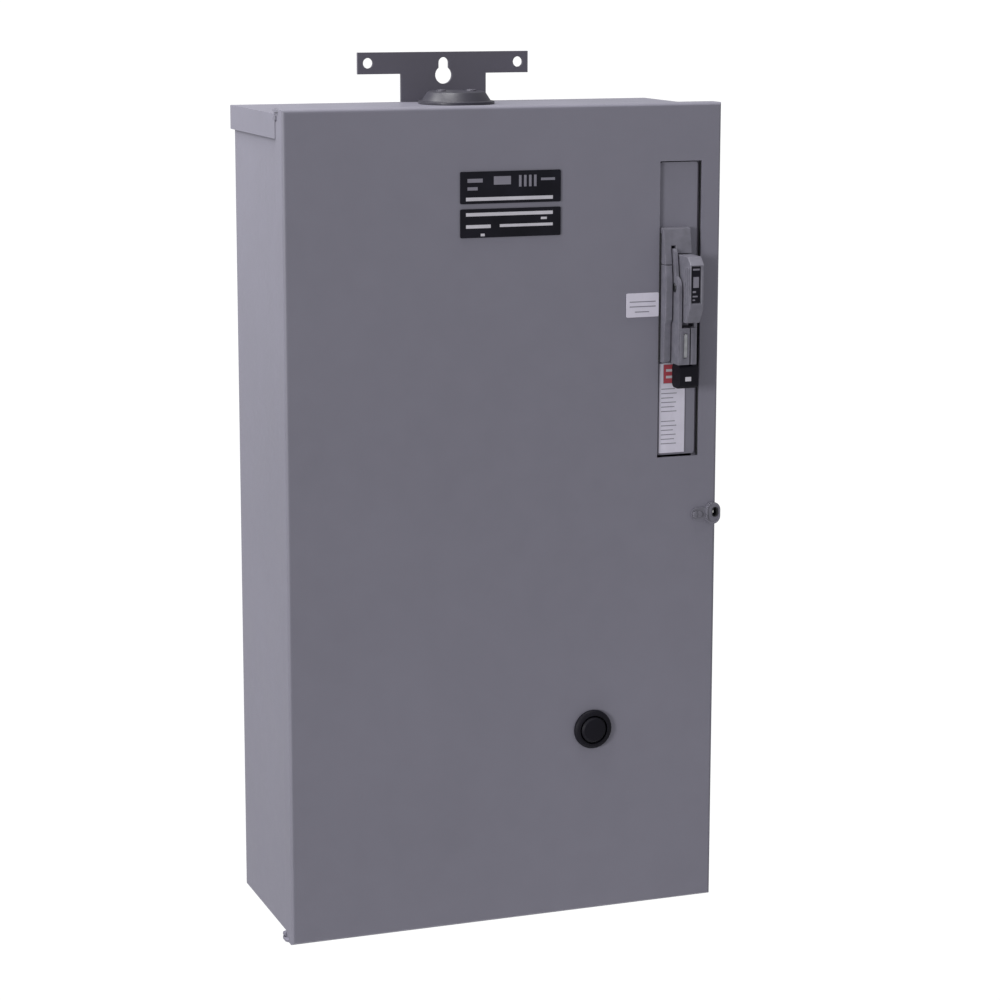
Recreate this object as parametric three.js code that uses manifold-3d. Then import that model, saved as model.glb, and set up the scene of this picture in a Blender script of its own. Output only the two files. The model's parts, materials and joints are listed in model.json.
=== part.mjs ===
// Enclosed disconnect and motor starter: a folded steel wall box with a side-hinged door, a flange
// mounted operating handle, a rotary blade switch, fuses, a contactor and an overload relay.
//
// Millimetres, +Z up. The origin is the axis of the hanging screw in the top bracket's keyhole, on the
// wall; the wall is the plane y = 0 and the door faces -Y. Inside the cabinet group x is measured from
// the centreline, y from the door's front face towards the wall, and z from the door's bottom edge.

import * as THREE from 'three';
import { mergeVertices } from 'three/addons/utils/BufferGeometryUtils.js';
import Module from 'manifold-3d';

const wasm = await Module();
wasm.setup();

// ---- Driving dimensions ----

const doorWidth = 350;
const doorHeight = 635;
const overallDepth = 147; // door's front face to the back of the box
const wallStandOff = 3; // back of the box to the wall
const sheet = 1.9; // 14 gauge steel
const bend = 3; // outer radius of a folded edge
const gap = 0.3; // left between pieces that touch
const flange = 17.8; // depth of the door's folded edges
const bodyInset = 3; // body's sides, in from the door's
const bodyFront = 6; // front face of the body's lip
const bodyBottom = 3.2;
const lipWidth = 16;
const hangingHeight = 662; // hanging screw above the door's bottom edge

// Door hinge
const hingeX = -174;
const hingeY = 18.6;
const hingeEar = 2.9;
const hingePin = 1.6;

// Operator, at the right of the door
const slotCentre = 141.45; // middle of the door's cut-out
const slotWidth = 35.1;
const slotBottom = 360.9;
const slotTop = 590.9;
const plateFront = 2.7;
const plateBack = 5.2;
const handlePivotY = -12;
const handlePivotZ = 495;
const handleCentre = 141.2;
const pivotRadius = 3.2;
const fingerReach = 26; // pivot to the centre of the finger's round end
const fingerRadius = 4;
const fingerStart = 80; // degrees above straight back, at rest
const halfStroke = fingerReach * Math.sin(THREE.MathUtils.degToRad(fingerStart));

// Switch rotor
const rotorY = 88;
const rotorZ = 470;
const drivePinY = 38;
const poles = [-12, 32.5, 77]; // x of the three poles

// Reset operator
const resetX = 71.2;
const resetZ = 148;

// Derived edges
const halfDoor = doorWidth / 2;
const halfBody = halfDoor - bodyInset;
const bodyTop = doorHeight - 5.8;
const panelFront = 134;

// ---- Finishes ----

const finish = (color, roughness, metalness) =>
  new THREE.MeshStandardMaterial({ color, roughness, metalness });

const paint = finish(0x6f6e7a, 0.5, 0.1);
const darkPaint = finish(0x53515a, 0.55, 0.1);
const castGrey = finish(0x7d7c88, 0.45, 0.2);
const zinc = finish(0xb9bbbf, 0.35, 0.9);
const copper = finish(0xb8793f, 0.35, 0.9);
const brass = finish(0xc7a350, 0.35, 0.9);
const blackPlastic = finish(0x1c1a22, 0.45, 0);
const phenolic = finish(0x2b2624, 0.6, 0);
const clearPlastic = finish(0xd8e0e4, 0.1, 0);
const rubber = finish(0x1b1b1e, 0.85, 0);
const paleLabel = finish(0xb0abb7, 0.6, 0);
const redLabel = finish(0xb05060, 0.6, 0);
const blackLabel = finish(0x25232d, 0.5, 0);
const fibre = finish(0x9a8f80, 0.8, 0);
const greenPaint = finish(0x3f7a4d, 0.5, 0.1);

// ---- Geometry helpers ----

const box = (x0, x1, y0, y1, z0, z1) =>
  new THREE.BoxGeometry(x1 - x0, y1 - y0, z1 - z0).translate(
    (x0 + x1) / 2,
    (y0 + y1) / 2,
    (z0 + z1) / 2,
  );

const outline = (points) => new THREE.Shape(points.map(([u, v]) => new THREE.Vector2(u, v)));

const extrude = (shape, depth, curveSegments = 6) =>
  new THREE.ExtrudeGeometry(shape, { depth, bevelEnabled: false, curveSegments });

// An outline in the x-y plane, raised from z0 to z1.
const raised = (shape, z0, z1, curveSegments) =>
  extrude(shape, z1 - z0, curveSegments).translate(0, 0, z0);

// An outline whose first axis is x and second is z, running back from y0 to y1.
const facing = (shape, y0, y1, curveSegments) =>
  extrude(shape, y1 - y0, curveSegments).rotateX(Math.PI / 2).translate(0, y1, 0);

// An outline whose first axis is y and second is z, running across from x0 to x1.
const across = (shape, x0, x1, curveSegments) =>
  extrude(shape, x1 - x0, curveSegments).rotateY(Math.PI / 2).rotateX(Math.PI / 2).translate(x0, 0, 0);

// Cylinders: centre line at the two given coordinates, from a to b along the named axis.
const rodX = (radius, x0, x1, y, z, segments = 24) =>
  new THREE.CylinderGeometry(radius, radius, x1 - x0, segments)
    .rotateZ(-Math.PI / 2)
    .translate((x0 + x1) / 2, y, z);

const rodY = (radius, y0, y1, x, z, segments = 24) =>
  new THREE.CylinderGeometry(radius, radius, y1 - y0, segments).translate(x, (y0 + y1) / 2, z);

const rodZ = (radius, z0, z1, x, y, segments = 24) =>
  new THREE.CylinderGeometry(radius, radius, z1 - z0, segments)
    .rotateX(Math.PI / 2)
    .translate(x, y, (z0 + z1) / 2);

// A turned piece: [radius, height] pairs about +Z, standing at x, y.
const turned = (profile, x, y, segments = 32) =>
  new THREE.LatheGeometry(profile.map(([r, h]) => new THREE.Vector2(r, h)), segments)
    .rotateX(Math.PI / 2)
    .translate(x, y, 0);

// A turned piece whose heights run forward, away from the wall, from the plane y.
const turnedForward = (profile, x, y, z, segments = 32) =>
  new THREE.LatheGeometry(profile.map(([r, h]) => new THREE.Vector2(r, -h)), segments)
    .scale(1, 1, -1)
    .translate(x, y, z);

const roundedBox = (u0, u1, v0, v1, radius) => {
  const shape = new THREE.Shape();
  shape.moveTo(u0 + radius, v0);
  shape.lineTo(u1 - radius, v0);
  shape.absarc(u1 - radius, v0 + radius, radius, -Math.PI / 2, 0);
  shape.lineTo(u1, v1 - radius);
  shape.absarc(u1 - radius, v1 - radius, radius, 0, Math.PI / 2);
  shape.lineTo(u0 + radius, v1);
  shape.absarc(u0 + radius, v1 - radius, radius, Math.PI / 2, Math.PI);
  shape.lineTo(u0, v0 + radius);
  shape.absarc(u0 + radius, v0 + radius, radius, Math.PI, 1.5 * Math.PI);
  return shape;
};

// A bar with round ends from (u0, v0) to (u1, v1).
const stadium = (u0, v0, u1, v1, radius) => {
  const turn = Math.atan2(v1 - v0, u1 - u0);
  const shape = new THREE.Shape();
  shape.absarc(u1, v1, radius, turn - Math.PI / 2, turn + Math.PI / 2);
  shape.absarc(u0, v0, radius, turn + Math.PI / 2, turn + 1.5 * Math.PI);
  return shape;
};

// ---- Joining and cutting ----

const toSolid = (geometry) => {
  const bare = geometry.clone();
  bare.deleteAttribute('normal');
  bare.deleteAttribute('uv');
  const welded = mergeVertices(bare, 1e-4);
  return new wasm.Manifold(
    new wasm.Mesh({
      numProp: 3,
      vertProperties: new Float32Array(welded.attributes.position.array),
      triVerts: new Uint32Array(welded.index.array),
    }),
  );
};

const toGeometry = (solid) => {
  const mesh = solid.getMesh();
  const geometry = new THREE.BufferGeometry();
  geometry.setAttribute('position', new THREE.BufferAttribute(mesh.vertProperties, 3));
  geometry.setIndex(new THREE.BufferAttribute(mesh.triVerts, 1));
  const flat = geometry.toNonIndexed();
  flat.computeVertexNormals();
  return flat;
};

const joined = (...pieces) =>
  toGeometry(pieces.map(toSolid).reduce((whole, piece) => whole.add(piece)));

const cut = (base, ...tools) =>
  toGeometry(tools.map(toSolid).reduce((rest, tool) => rest.subtract(tool), toSolid(base)));

const common = (first, second) => toGeometry(toSolid(first).intersect(toSolid(second)));

// ---- Assembly ----

const product = new THREE.Group();
const cabinet = new THREE.Group();
cabinet.position.set(0, -(overallDepth + wallStandOff), -hangingHeight);
product.add(cabinet);

const addPart = (name, geometry, material, parent = cabinet) => {
  const mesh = new THREE.Mesh(geometry, material);
  mesh.name = name;
  parent.add(mesh);
  return mesh;
};

// ---- Enclosure ----

// A block with its four front edges rounded, as a folded pan has.
const pan = (halfWidth, y0, y1, z0, z1, radius) => {
  const plan = new THREE.Shape();
  plan.moveTo(-halfWidth, y1);
  plan.lineTo(-halfWidth, y0 + radius);
  plan.absarc(-halfWidth + radius, y0 + radius, radius, Math.PI, 1.5 * Math.PI);
  plan.lineTo(halfWidth - radius, y0);
  plan.absarc(halfWidth - radius, y0 + radius, radius, -Math.PI / 2, 0);
  plan.lineTo(halfWidth, y1);
  const side = new THREE.Shape();
  side.moveTo(y1, z1);
  side.lineTo(y0 + radius, z1);
  side.absarc(y0 + radius, z1 - radius, radius, Math.PI / 2, Math.PI);
  side.lineTo(y0, z0 + radius);
  side.absarc(y0 + radius, z0 + radius, radius, Math.PI, 1.5 * Math.PI);
  side.lineTo(y1, z0);
  return common(raised(plan, z0, z1, 4), across(side, -halfWidth, halfWidth, 4));
};

const knockoutX = [-95, 0];
const knockoutY = 92;

function buildEnclosure() {
  const plan = new THREE.Shape();
  plan.moveTo(-halfBody, bodyFront);
  plan.lineTo(halfBody, bodyFront);
  plan.lineTo(halfBody, overallDepth - bend);
  plan.absarc(halfBody - bend, overallDepth - bend, bend, 0, Math.PI / 2);
  plan.lineTo(-halfBody + bend, overallDepth);
  plan.absarc(-halfBody + bend, overallDepth - bend, bend, Math.PI / 2, Math.PI);
  const hollow = box(
    -halfBody + sheet,
    halfBody - sheet,
    bodyFront + sheet,
    overallDepth - sheet,
    bodyBottom + sheet,
    bodyTop - sheet,
  );
  const mouth = box(
    -halfBody + lipWidth,
    halfBody - lipWidth,
    bodyFront - 1,
    bodyFront + sheet + 1,
    bodyBottom + lipWidth,
    bodyTop - lipWidth,
  );
  const shell = cut(raised(plan, bodyBottom, bodyTop, 3), hollow, mouth);
  const ear = stadium(hingeX, hingeY, hingeX + 6, hingeY, hingeEar);
  const whole = joined(
    shell,
    raised(ear, bodyTop - sheet, bodyTop, 6),
    raised(ear, bodyBottom, bodyBottom + sheet, 6),
  );
  const grooves = knockoutX.map((x) =>
    cut(
      rodZ(22.3, bodyBottom - 1, bodyBottom + 0.7, x, knockoutY, 28),
      rodZ(21.3, bodyBottom - 2, bodyBottom + 1, x, knockoutY, 28),
    ),
  );
  const earHole = rodZ(hingePin + gap, 0, doorHeight, hingeX, hingeY, 12);
  addPart('enclosure_body', cut(whole, earHole, ...grooves), paint);
}

const capBottom = doorHeight - 22;
const capTop = bodyTop + gap + sheet;
const capFront = 18.5;
const stemHalf = 35.6; // half width of the bracket's stem

function buildTopCap() {
  const outer = halfBody + gap + sheet;
  const back = overallDepth + gap + sheet;
  const skirtFront = hingeY + hingeEar + gap;
  const cornerNotch = 2.4; // clears the hinge pin
  const plan = outline([
    [-outer, skirtFront],
    [-outer + cornerNotch, skirtFront],
    [-outer + cornerNotch, capFront],
    [outer - cornerNotch, capFront],
    [outer - cornerNotch, skirtFront],
    [outer, skirtFront],
    [outer, back],
    [-outer, back],
  ]);
  const bore = halfBody + gap;
  const inside = box(-bore, bore, 0, overallDepth + gap, capBottom - 1, bodyTop + gap);
  const stemSlot = box(
    -stemHalf - 1,
    stemHalf + 1,
    overallDepth + gap - 0.05,
    back + 1,
    capBottom - 1,
    capTop + 1,
  );
  addPart('top_cap', cut(raised(plan, capBottom, capTop), inside, stemSlot), paint);
}

const hubX = -2.5;
const hubY = 110;

function buildHubPlate() {
  const seat = capTop + gap;
  const profile = [
    [0, seat],
    [30, seat],
    [30, seat + 1.9],
    [27, seat + 2.3],
    [23, seat + 8.5],
    [21.4, seat + 9.5],
    [0, seat + 9.5],
  ];
  addPart('hub_plate', turned(profile, hubX, hubY, 32), darkPaint);
}

// The T-shaped bracket: a bar with a hole at each end on a stem with a keyhole, or a plain slot.
const barHalf = 71.3;
const barBottom = 653.4;
const barTop = 670.4;
const endHoleX = 62.8;
const stemBottom = 596;
const wallHole = 4.15; // radius of the brackets' screw holes
const screwSlot = 4.2; // half width of their slots

function bracketOutline(mirror) {
  const place = ([x, z]) => [x, mirror ? bodyBottom + capTop - z : z];
  const points = [
    [-barHalf, barTop],
    [-barHalf, barBottom],
    [-stemHalf, barBottom],
    [-stemHalf, stemBottom],
    [stemHalf, stemBottom],
    [stemHalf, barBottom],
    [barHalf, barBottom],
    [barHalf, barTop],
  ];
  return outline(points.map(place));
}

function buildBrackets() {
  const y0 = overallDepth + gap;
  const y1 = overallDepth + wallStandOff;
  const through = [y0 - 1, y1 + 1];
  const endHoles = (z) => [-endHoleX, endHoleX].map((x) => rodY(wallHole, ...through, x, z, 20));
  const keyhole = [
    rodY(7, ...through, 0, hangingHeight - 9.8, 28),
    facing(stadium(0, hangingHeight - 8, 0, hangingHeight, screwSlot), ...through, 8),
  ];
  addPart(
    'top_bracket',
    cut(facing(bracketOutline(false), y0, y1), ...endHoles(hangingHeight), ...keyhole),
    darkPaint,
  );
  const lowHole = bodyBottom + capTop - hangingHeight;
  addPart(
    'bottom_bracket',
    cut(
      facing(bracketOutline(true), y0, y1),
      ...endHoles(lowHole),
      facing(stadium(0, lowHole - 2, 0, lowHole + 2, screwSlot), ...through, 8),
    ),
    darkPaint,
  );
}

const panelLeft = -155;
const panelRight = 115;
const panelBottom = 40;
const panelTop = 600;

function buildPanel() {
  const panelThickness = 2;
  const railDepth = [panelFront + panelThickness + gap, overallDepth - sheet - gap];
  addPart(
    'mounting_panel',
    facing(
      roundedBox(panelLeft, panelRight, panelBottom, panelTop, 6),
      panelFront,
      panelFront + panelThickness,
      3,
    ),
    zinc,
  );
  const rails = { panel_rail_upper: panelTop - 50, panel_rail_lower: panelBottom + 50 };
  for (const [name, z] of Object.entries(rails)) {
    addPart(name, box(panelLeft + 8, panelRight - 8, ...railDepth, z - 12, z + 12), zinc);
  }
}

// A sealing eye on the box's side, behind the door's own.
function buildSealStaple() {
  const side = halfBody + gap;
  const [front, thickness] = [19.4, 2.2];
  const foot = box(side, side + 1.2, front, front + 15, eyeZ - 7, eyeZ + 7);
  const tab = facing(stadium(side + 1, eyeZ, stapleX, eyeZ, 7), front, front + thickness, 8);
  const trimmed = cut(tab, box(side - 20, side, front - 1, front + 4, eyeZ - 9, eyeZ + 9));
  const hole = rodY(2, front - 1, front + thickness + 1, stapleX + 3.3, eyeZ, 20);
  addPart('seal_staple', cut(joined(foot, trimmed), hole), castGrey);
}

function buildHingePins() {
  const pins = {
    hinge_pin_top: [bodyTop - sheet - 0.8, doorHeight - 0.2],
    hinge_pin_bottom: [0.2, bodyBottom + sheet + 0.8],
  };
  for (const [name, ends] of Object.entries(pins)) {
    addPart(name, rodZ(hingePin, ...ends, hingeX, hingeY, 12), zinc);
  }
}

// ---- Door ----

const eyeX = 172.9; // centre of the sealing eye's hole
const eyeZ = 315.2;
const eyeHole = 2.6; // half width of the hole
const eyeHalf = 1.4; // half distance between the hole's round ends
const stapleX = 175.6;

function buildDoor() {
  const outer = pan(halfDoor, 0, flange, 0, doorHeight, bend);
  const inner = pan(halfDoor - sheet, sheet, flange + 1, sheet, doorHeight - sheet, bend - sheet);
  const ear = stadium(hingeX, 12, hingeX, hingeY, hingeEar);
  const whole = joined(
    cut(outer, inner),
    raised(ear, 0, sheet, 6),
    raised(ear, doorHeight - sheet, doorHeight, 6),
  );
  const slot = box(
    slotCentre - slotWidth / 2,
    slotCentre + slotWidth / 2,
    -1,
    sheet + 1,
    slotBottom,
    slotTop,
  );
  const resetHole = rodY(11, -1, sheet + 1, resetX, resetZ, 28);
  const earHole = rodZ(hingePin + gap, -1, doorHeight + 1, hingeX, hingeY, 12);
  const eyeReach = eyeHole + eyeHalf;
  const notchX = [eyeX - eyeHole, halfDoor + 1];
  const shackleNotch = box(...notchX, -1, flange + 1, eyeZ - eyeReach, eyeZ + eyeReach);
  // The left flange is cut back round the body's hinge ears and, above and below them, the pins.
  const flangeNotch = (y, z0, z1) => box(-halfDoor - 1, -halfDoor + 3, y, flange + 1, z0, z1);
  const pinNotch = hingeY - hingePin - gap;
  const notches = [
    shackleNotch,
    flangeNotch(13.8, bodyBottom - 1, bodyBottom + 2.6),
    flangeNotch(13.8, bodyTop - 3.3, bodyTop + 1),
    flangeNotch(pinNotch, sheet, bodyBottom),
    flangeNotch(pinNotch, bodyTop, doorHeight - sheet),
  ];
  addPart('door', cut(whole, slot, resetHole, earHole, ...notches), paint);
}

function buildDoorTrim() {
  const edge = [halfBody - 2, bodyBottom + 2, bodyTop - 2]; // side, bottom and top of the foam
  const width = 11;
  const ring = cut(
    box(-edge[0], edge[0], sheet + gap, bodyFront - gap, edge[1], edge[2]),
    box(-edge[0] + width, edge[0] - width, 0, bodyFront + 1, edge[1] + width, edge[2] - width),
  );
  addPart('door_gasket', ring, rubber);

  const plaque = (name, x0, x1, z0, z1, thickness, material) =>
    addPart(name, facing(roundedBox(x0, x1, z0, z1, 1), -gap - thickness, -gap, 2), material);
  plaque('nameplate_upper', -38.4, 41.9, 562.9, 586.9, 0.8, blackLabel);
  plaque('nameplate_lower', -38.4, 41.9, 537.5, 559, 0.8, blackLabel);
  plaque('rating_label', 96.6, 123.6, 471.9, 490.5, 0.5, paleLabel);

  // Sealing eye: an upright loop on a tongue that is riveted to the door.
  const loopX = eyeX - 1.5;
  const hasp = joined(
    facing(stadium(loopX, eyeZ - 3.4, loopX, eyeZ + 1.6, 6.2), -gap - 2.4, -gap, 10),
    facing(stadium(158.5, eyeZ - 1, loopX, eyeZ - 1, 5), -gap - 1.6, -gap, 8),
    rodY(2.4, -gap - 2.8, -gap - 1, 159.5, eyeZ - 1, 12),
  );
  const eye = facing(stadium(eyeX, eyeZ - eyeHalf, eyeX, eyeZ + eyeHalf, eyeHole), -5, 0, 8);
  addPart('door_hasp', cut(hasp, eye), castGrey);

  // A hooked tab inside the door, which the drive slide's pin holds while the switch is on.
  const catchFoot = outline([
    [sheet + gap, 434.5],
    [46, 434.5],
    [46, 448],
    [43.5, 448],
    [43.5, 437],
    [sheet + gap + 2.5, 437],
    [sheet + gap + 2.5, 460],
    [sheet + gap, 460],
  ]);
  addPart('door_catch', across(catchFoot, 104, 117), zinc);
}

// ---- Reset operator ----

function buildReset() {
  const bezel = [
    [11.4, 0.3],
    [15.5, 0.3],
    [15.5, 2.2],
    [14.4, 3.6],
    [12.6, 4.2],
    [11.4, 4.2],
    [11.4, 0.3],
  ];
  addPart('reset_bezel', turnedForward(bezel, resetX, 0, resetZ, 32), blackPlastic);

  // Button, with a stem that reaches back to the relay.
  const button = [
    [0, 5.8],
    [8.6, 5.2],
    [10.2, 3.8],
    [10.6, 1.5],
    [10.6, -5.5],
    [3.2, -5.5],
    [3.2, -58],
    [0, -58],
  ];
  addPart('reset_button', turnedForward([...button].reverse(), resetX, 0, resetZ, 24), blackPlastic);
}

// ---- Operator ----

const plateLeft = slotCentre - slotWidth / 2 + 1;
const plateRight = slotCentre + slotWidth / 2 - 2.6;
const fingerSlot = [130.9, 135]; // x range of the slot that the handle's finger works in
const towerLeft = 135.5;
const towerRight = 147;
const towerFront = -33;
const towerBottom = 469;
const towerTop = 520;
const hubLeft = [131.7, 134.2]; // the yoke's left hub plate
const hubRight = [147.6, 150.1];
const castBack = plateFront - gap; // where pieces stand on the plate
const castLeft = plateLeft + gap;

function buildOperator() {
  const plate = facing(
    roundedBox(plateLeft, plateRight, slotBottom + 1.5, slotTop - 0.9, 2),
    plateFront,
    plateBack,
    3,
  );
  const slot = box(...fingerSlot, plateFront - 1, plateBack + 1, handlePivotZ - 31, handlePivotZ + 31);
  addPart('operator_plate', cut(plate, slot), paint);

  // Channel behind the plate, open at the front, with a slot for the drive pin in its left wall.
  const [y0, y1] = [plateBack + gap, 58];
  const wall = 2;
  const [left, right] = [plateLeft + 0.4, plateRight - 0.4];
  const [z0, z1] = [slotBottom + 8, slotTop - 8];
  const channel = cut(
    box(left, right, y0, y1, z0, z1),
    box(left + wall, right - wall, y0 - 1, y1 - wall, z0 + wall, z1 - wall),
    box(left - 1, left + 4, drivePinY - 3.8, drivePinY + 3.8, rotorZ - 34, rotorZ + 34),
  );
  const footFront = bodyFront + sheet + gap;
  const foot = box(right - 1, halfBody - sheet - gap, footFront, footFront + wall, z0, z1);
  addPart('operator_frame', joined(channel, foot), zinc);

  // Tower that carries the handle's pivot, with a window in its front.
  const tower = outline([
    [castBack, towerBottom],
    [towerFront + 7, towerBottom],
    [towerFront, towerBottom + 12],
    [towerFront, towerTop - 6],
    [towerFront + 6, towerTop],
    [castBack, towerTop],
  ]);
  const windowX = [towerLeft + 1.2, towerRight - 2.4];
  const windowZ = [484.6, 513.4];
  const recess = box(...windowX, towerFront - 1, towerFront + 1.6, ...windowZ);
  const pivot = rodX(
    pivotRadius + gap,
    towerLeft - 1,
    towerRight + 1,
    handlePivotY,
    handlePivotZ,
    20,
  );
  addPart('operator_tower', cut(across(tower, towerLeft, towerRight), recess, pivot), castGrey);
  const labelY = [towerFront + 1, towerFront + 1.3];
  addPart(
    'position_label',
    box(windowX[0] + 0.5, windowX[1] - 0.5, ...labelY, windowZ[0] + 0.6, windowZ[1] - 0.6),
    blackLabel,
  );

  // Shoulder above the tower: its front leans back towards the top.
  const shoulderBottom = 512.3;
  const shoulder = outline([
    [castBack, shoulderBottom],
    [-9.4, shoulderBottom],
    [-4.6, 538.6],
    [-3, 540.2],
    [castBack, 540.2],
  ]);
  const [low, high] = [shoulderBottom - 1, towerTop + 6.6];
  addPart(
    'operator_cap',
    cut(
      across(shoulder, castLeft, 148.2),
      box(hubLeft[0] - 0.6, hubLeft[1] + 0.6, -12, plateFront, low, high),
      box(hubLeft[1], 149, -12, plateFront, low, towerTop + 0.6),
    ),
    castGrey,
  );

  // Long cheek to the left of the handle.
  const cheek = outline([
    [castBack, 436.3],
    [-6.5, 436.3],
    [-8, 438],
    [-8, 466],
    [-11, 470],
    [-11, 500],
    [-9.4, shoulderBottom - gap],
    [castBack, shoulderBottom - gap],
  ]);
  addPart('defeater_block', across(cheek, castLeft, fingerSlot[0] - 0.2), castGrey);

  addPart(
    'pivot_pin',
    rodX(pivotRadius, hubLeft[0] - 0.5, hubRight[1] + 1, handlePivotY, handlePivotZ, 20),
    zinc,
  );

  const filmDepth = [castBack - 0.5, castBack];
  const header = [129.8, 147.2, ...filmDepth, 419, 433.4];
  const headerSpace = box(header[0] - gap, 149, 0, plateFront, header[4] - gap, header[5] + gap);
  const label = box(plateLeft + 1.1, 147.7, ...filmDepth, 363.9, 434.5);
  addPart('warning_header', box(...header), redLabel);
  addPart('instruction_label', cut(label, headerSpace), paleLabel);
}

// ---- Handle ----

const barTopZ = 464.5;
const barBottomZ = 436.2;
const barFront = handlePivotY - 9;
const barBack = handlePivotY + 8;
const slideX = [136.4, 139]; // padlock slide
const slideZ = [441.8, 459.8];

function buildHandle() {
  const arm = new THREE.Shape();
  arm.absarc(handlePivotY, handlePivotZ, 9, 0, Math.PI);
  arm.lineTo(barFront, barTopZ);
  arm.lineTo(barFront, barBottomZ);
  arm.lineTo(barBack, barBottomZ);
  arm.lineTo(barBack + 1, barTopZ);

  // Finger: a bar from the pivot to a round end, in the left hub plate's own plane.
  const lean = THREE.MathUtils.degToRad(fingerStart);
  const tip = [
    handlePivotY + fingerReach * Math.cos(lean),
    handlePivotZ + fingerReach * Math.sin(lean),
  ];
  const finger = stadium(handlePivotY, handlePivotZ, ...tip, fingerRadius);
  const bore = rodX(
    pivotRadius + gap,
    hubLeft[0] - 1,
    hubRight[1] + 1,
    handlePivotY,
    handlePivotZ,
    20,
  );
  const bar = box(hubLeft[0], hubRight[1], barFront, barBack, barBottomZ, barTopZ);
  const yoke = joined(
    across(arm, ...hubLeft, 8),
    across(arm, ...hubRight, 8),
    across(finger, ...hubLeft, 8),
    bar,
  );
  const slideSlot = box(
    slideX[0] - gap,
    slideX[1] + gap,
    barFront - 1,
    barBack - 3,
    slideZ[0] - 0.6,
    slideZ[1] + 0.6,
  );
  const centreGroove = box(140.9, 142.1, barFront - 1, barFront + 3, barBottomZ - 1, barTopZ + 1);
  const rightStep = box(146.6, 151, barFront - 1, barFront + 7, barBottomZ - 1, 483);
  addPart('handle_yoke', cut(yoke, bore, slideSlot, centreGroove, rightStep), castGrey);

  const grip = roundedBox(barFront + 1, barBack - 1, 417.2, barBottomZ - gap, 4);
  addPart('handle_grip', across(grip, handleCentre - 7.7, handleCentre + 7.7, 3), blackPlastic);

  // Padlock slide: a plate with a shackle hole, stowed in the bar.
  const plate = box(...slideX, barFront, barBack - 3.4, ...slideZ);
  const holeZ = (slideZ[0] + slideZ[1]) / 2;
  const shackle = rodX(4, slideX[0] - 1, slideX[1] + 1, handlePivotY - 2.5, holeZ, 16);
  addPart('padlock_slide', cut(plate, shackle), zinc);
}

// ---- Drive ----

function buildDrive() {
  const slideAt = [fingerSlot[0] + 0.6, fingerSlot[1] - 0.6];
  const mouth = handlePivotZ + halfStroke; // middle of the mouth at rest
  const pinZ = rotorZ + halfStroke;
  const mouthHalf = fingerRadius + 4.6;
  const mouthBack = handlePivotY + fingerReach + fingerRadius + 1.5;
  const plate = outline([
    [9, pinZ - 14],
    [drivePinY + 10, pinZ - 14],
    [drivePinY + 10, mouth + 16],
    [9, mouth + 16],
    [9, mouth + mouthHalf],
    [mouthBack, mouth + mouthHalf],
    [mouthBack, mouth - mouthHalf],
    [9, mouth - mouthHalf],
  ]);
  // The pin reaches left through the channel's wall and the crank, and in front of the door's catch
  // while the switch is on.
  const pin = rodX(3, 106, slideAt[1] - 0.5, drivePinY, pinZ, 16);
  addPart('drive_slide', joined(across(plate, ...slideAt), pin), zinc);

  const crankPlane = [118, 121.2];
  const reach = rotorY - drivePinY;
  const arm = cut(
    across(stadium(0, 0, -reach - 6, 0, 9), ...crankPlane, 8),
    across(stadium(-reach + 3, 0, -reach - 8, 0, 4.1), crankPlane[0] - 1, crankPlane[1] + 1, 6),
    rodX(4, crankPlane[0] - 1, crankPlane[1] + 1, 0, 0, 16),
  );
  const lean = Math.atan2(halfStroke, reach);
  const crank = addPart('rotor_crank', arm, zinc);
  crank.position.set(0, rotorY, rotorZ);
  crank.rotation.x = -lean;

  // Rotor: an insulating shaft with a blade through it at each pole. On, the blades stand upright.
  const rotor = new THREE.Group();
  rotor.position.set(0, rotorY, rotorZ);
  rotor.rotation.x = -2 * lean;
  cabinet.add(rotor);
  const shaft = joined(
    rodX(8, cheekLeft[1] + 0.5, cheekRight[0] - 0.5, 0, 0, 20),
    rodX(4, cheekLeft[0] - 1, crankPlane[0] - gap, 0, 0, 16),
    rodX(4 - gap, crankPlane[0] - 1, crankPlane[1] + 1, 0, 0, 16),
  );
  const windows = poles.map((x) => box(x - 1 - gap, x + 1 + gap, -4 - gap, 4 + gap, -9, 9));
  addPart('rotor_shaft', cut(shaft, ...windows), phenolic, rotor);
  poles.forEach((x, index) => {
    const blade = across(stadium(0, -bladeReach, 0, bladeReach, 4), x - 1, x + 1, 6);
    addPart(`blade_${index + 1}`, blade, copper, rotor);
  });
}

// ---- Switch ----

const cheekLeft = [-40, -36];
const cheekRight = [103, 107];
const baseFront = 122;
const bladeReach = 35; // rotor's axis to the centre of a blade's round end
const jawGap = 1.5; // half the space between a jaw's leaves

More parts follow.
